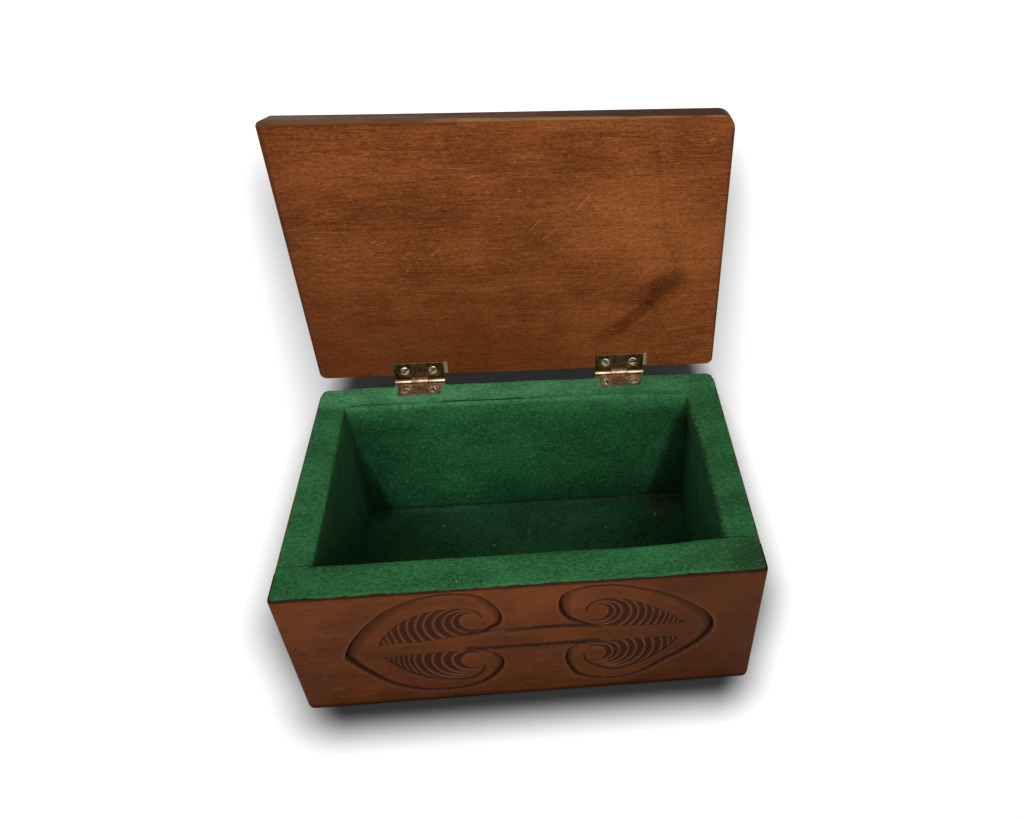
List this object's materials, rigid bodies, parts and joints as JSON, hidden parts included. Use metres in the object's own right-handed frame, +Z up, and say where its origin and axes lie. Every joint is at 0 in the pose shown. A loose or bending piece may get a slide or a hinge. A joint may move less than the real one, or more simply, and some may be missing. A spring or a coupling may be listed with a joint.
{
  "type": "carved wooden box",
  "caption": "Rectangular wooden box with a carved front, green felt lining and a flat lid on brass butt hinges.",
  "frame": {"origin": "on the ground plane, at the middle of the underside of the body", "axes": "+X to the right seen from the carved front, +Y to the back, where the hinges are, +Z up"},
  "size_m": [0.2, 0.1491, 0.2142],
  "materials": {
    "carved_wood": "red-brown hardwood, waxed to a satin",
    "lid_wood": "orange-brown hardwood, waxed, with fine scratches",
    "green_felt": "green wool felt",
    "rim_brass": "brass gone copper-brown",
    "lid_brass": "brass gone dark bronze",
    "pin_brass": "bright brass",
    "screw_brass": "bright worn brass"
  },
  "bodies": {
    "box": {"front_board": "carved_wood", "back_board": "carved_wood", "left_board": "carved_wood", "right_board": "carved_wood", "bottom_board": "carved_wood", "front_felt": "green_felt", "back_felt": "green_felt", "left_felt": "green_felt", "right_felt": "green_felt", "floor_felt": "green_felt", "left_hinge_rim_leaf": "rim_brass", "left_hinge_pin": "pin_brass", "left_rim_screw_outer": "screw_brass", "left_rim_screw_inner": "screw_brass", "right_hinge_rim_leaf": "rim_brass", "right_hinge_pin": "pin_brass", "right_rim_screw_outer": "screw_brass", "right_rim_screw_inner": "screw_brass"},
    "lid": {"lid_board": "lid_wood", "left_hinge_lid_leaf": "lid_brass", "left_lid_screw_outer": "screw_brass", "left_lid_screw_inner": "screw_brass", "right_hinge_lid_leaf": "lid_brass", "right_lid_screw_outer": "screw_brass", "right_lid_screw_inner": "screw_brass"}
  },
  "joints": [
    {"name": "lid_hinge", "type": "hinge", "parent": "box", "child": "lid", "pos_m": [0, 0.0684, 0.08092], "axis": [-1, 0, 0], "range_deg": [-92.3, 105]}
  ]
}
